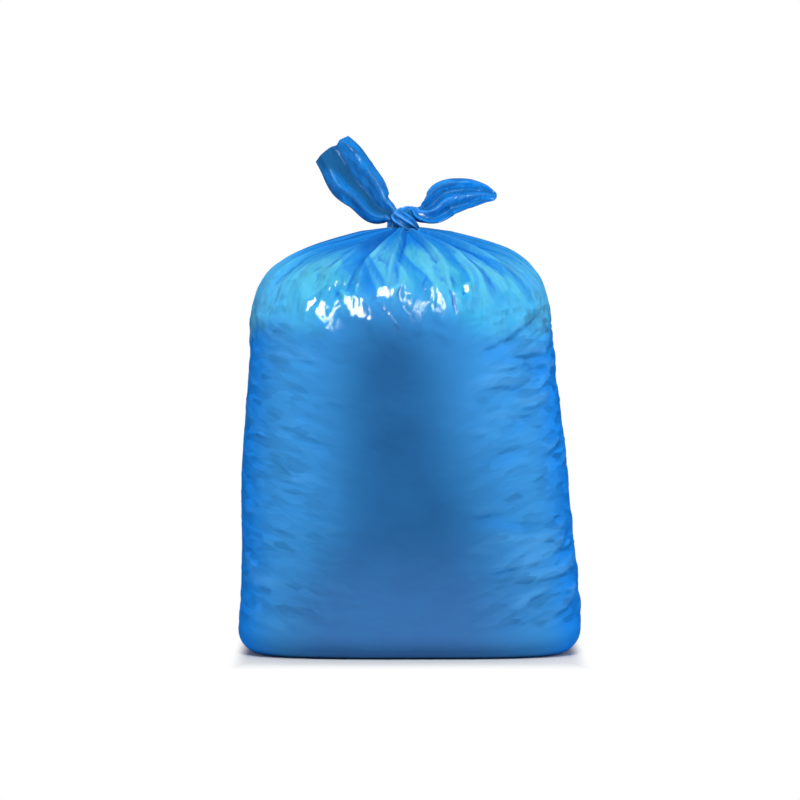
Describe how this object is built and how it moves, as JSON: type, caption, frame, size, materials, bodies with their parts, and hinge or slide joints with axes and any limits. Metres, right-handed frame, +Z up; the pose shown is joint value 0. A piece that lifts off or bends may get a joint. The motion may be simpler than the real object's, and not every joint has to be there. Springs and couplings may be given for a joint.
{
  "type": "garbage bag",
  "caption": "Filled garbage bag of blue plastic film, gathered at the neck and tied in a knot that leaves two loose ears, standing on its flattened base.",
  "frame": {"origin": "middle of the bag's box on the flattened base that it stands on", "axes": "+Z up through the neck, +X to the right of the front, which looks towards -Y"},
  "size_m": [0.4656, 0.3744, 0.6989],
  "materials": {
    "film": "satin translucent film"
  },
  "bodies": {
    "root": {"garbage_bag": "film"}
  },
  "joints": []
}
